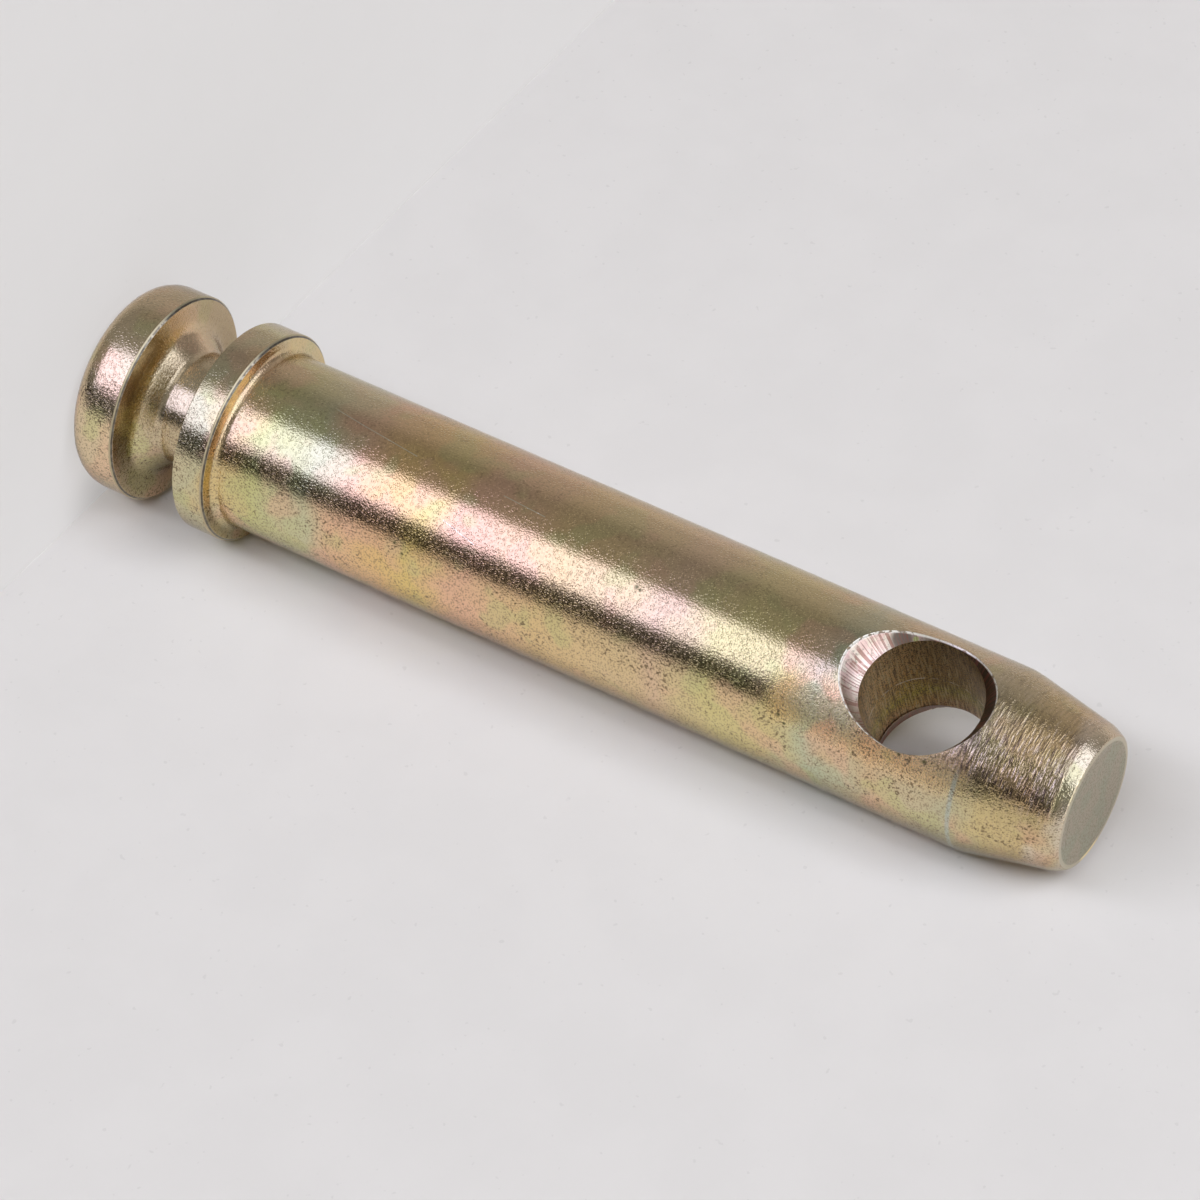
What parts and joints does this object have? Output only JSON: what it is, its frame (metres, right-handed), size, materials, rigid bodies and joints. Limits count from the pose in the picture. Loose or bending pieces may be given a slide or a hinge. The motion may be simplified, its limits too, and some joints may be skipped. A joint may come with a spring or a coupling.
{
  "type": "top link pin",
  "caption": "Straight one-piece hitch pin with a disc head, waisted neck, stop collar, plain round shaft, cross hole for a retaining clip and tapered tip.",
  "frame": {"origin": "centre of the head's flat end face, which the pin stands on", "axes": "+Z along the pin from the head to the tip, Y along the cross hole"},
  "size_m": [0.0228, 0.0228, 0.1142],
  "materials": {
    "top_link_pin": "yellow zinc plated steel, satin, with fine turning lines"
  },
  "bodies": {
    "root": {"top_link_pin": "top_link_pin"}
  },
  "joints": []
}
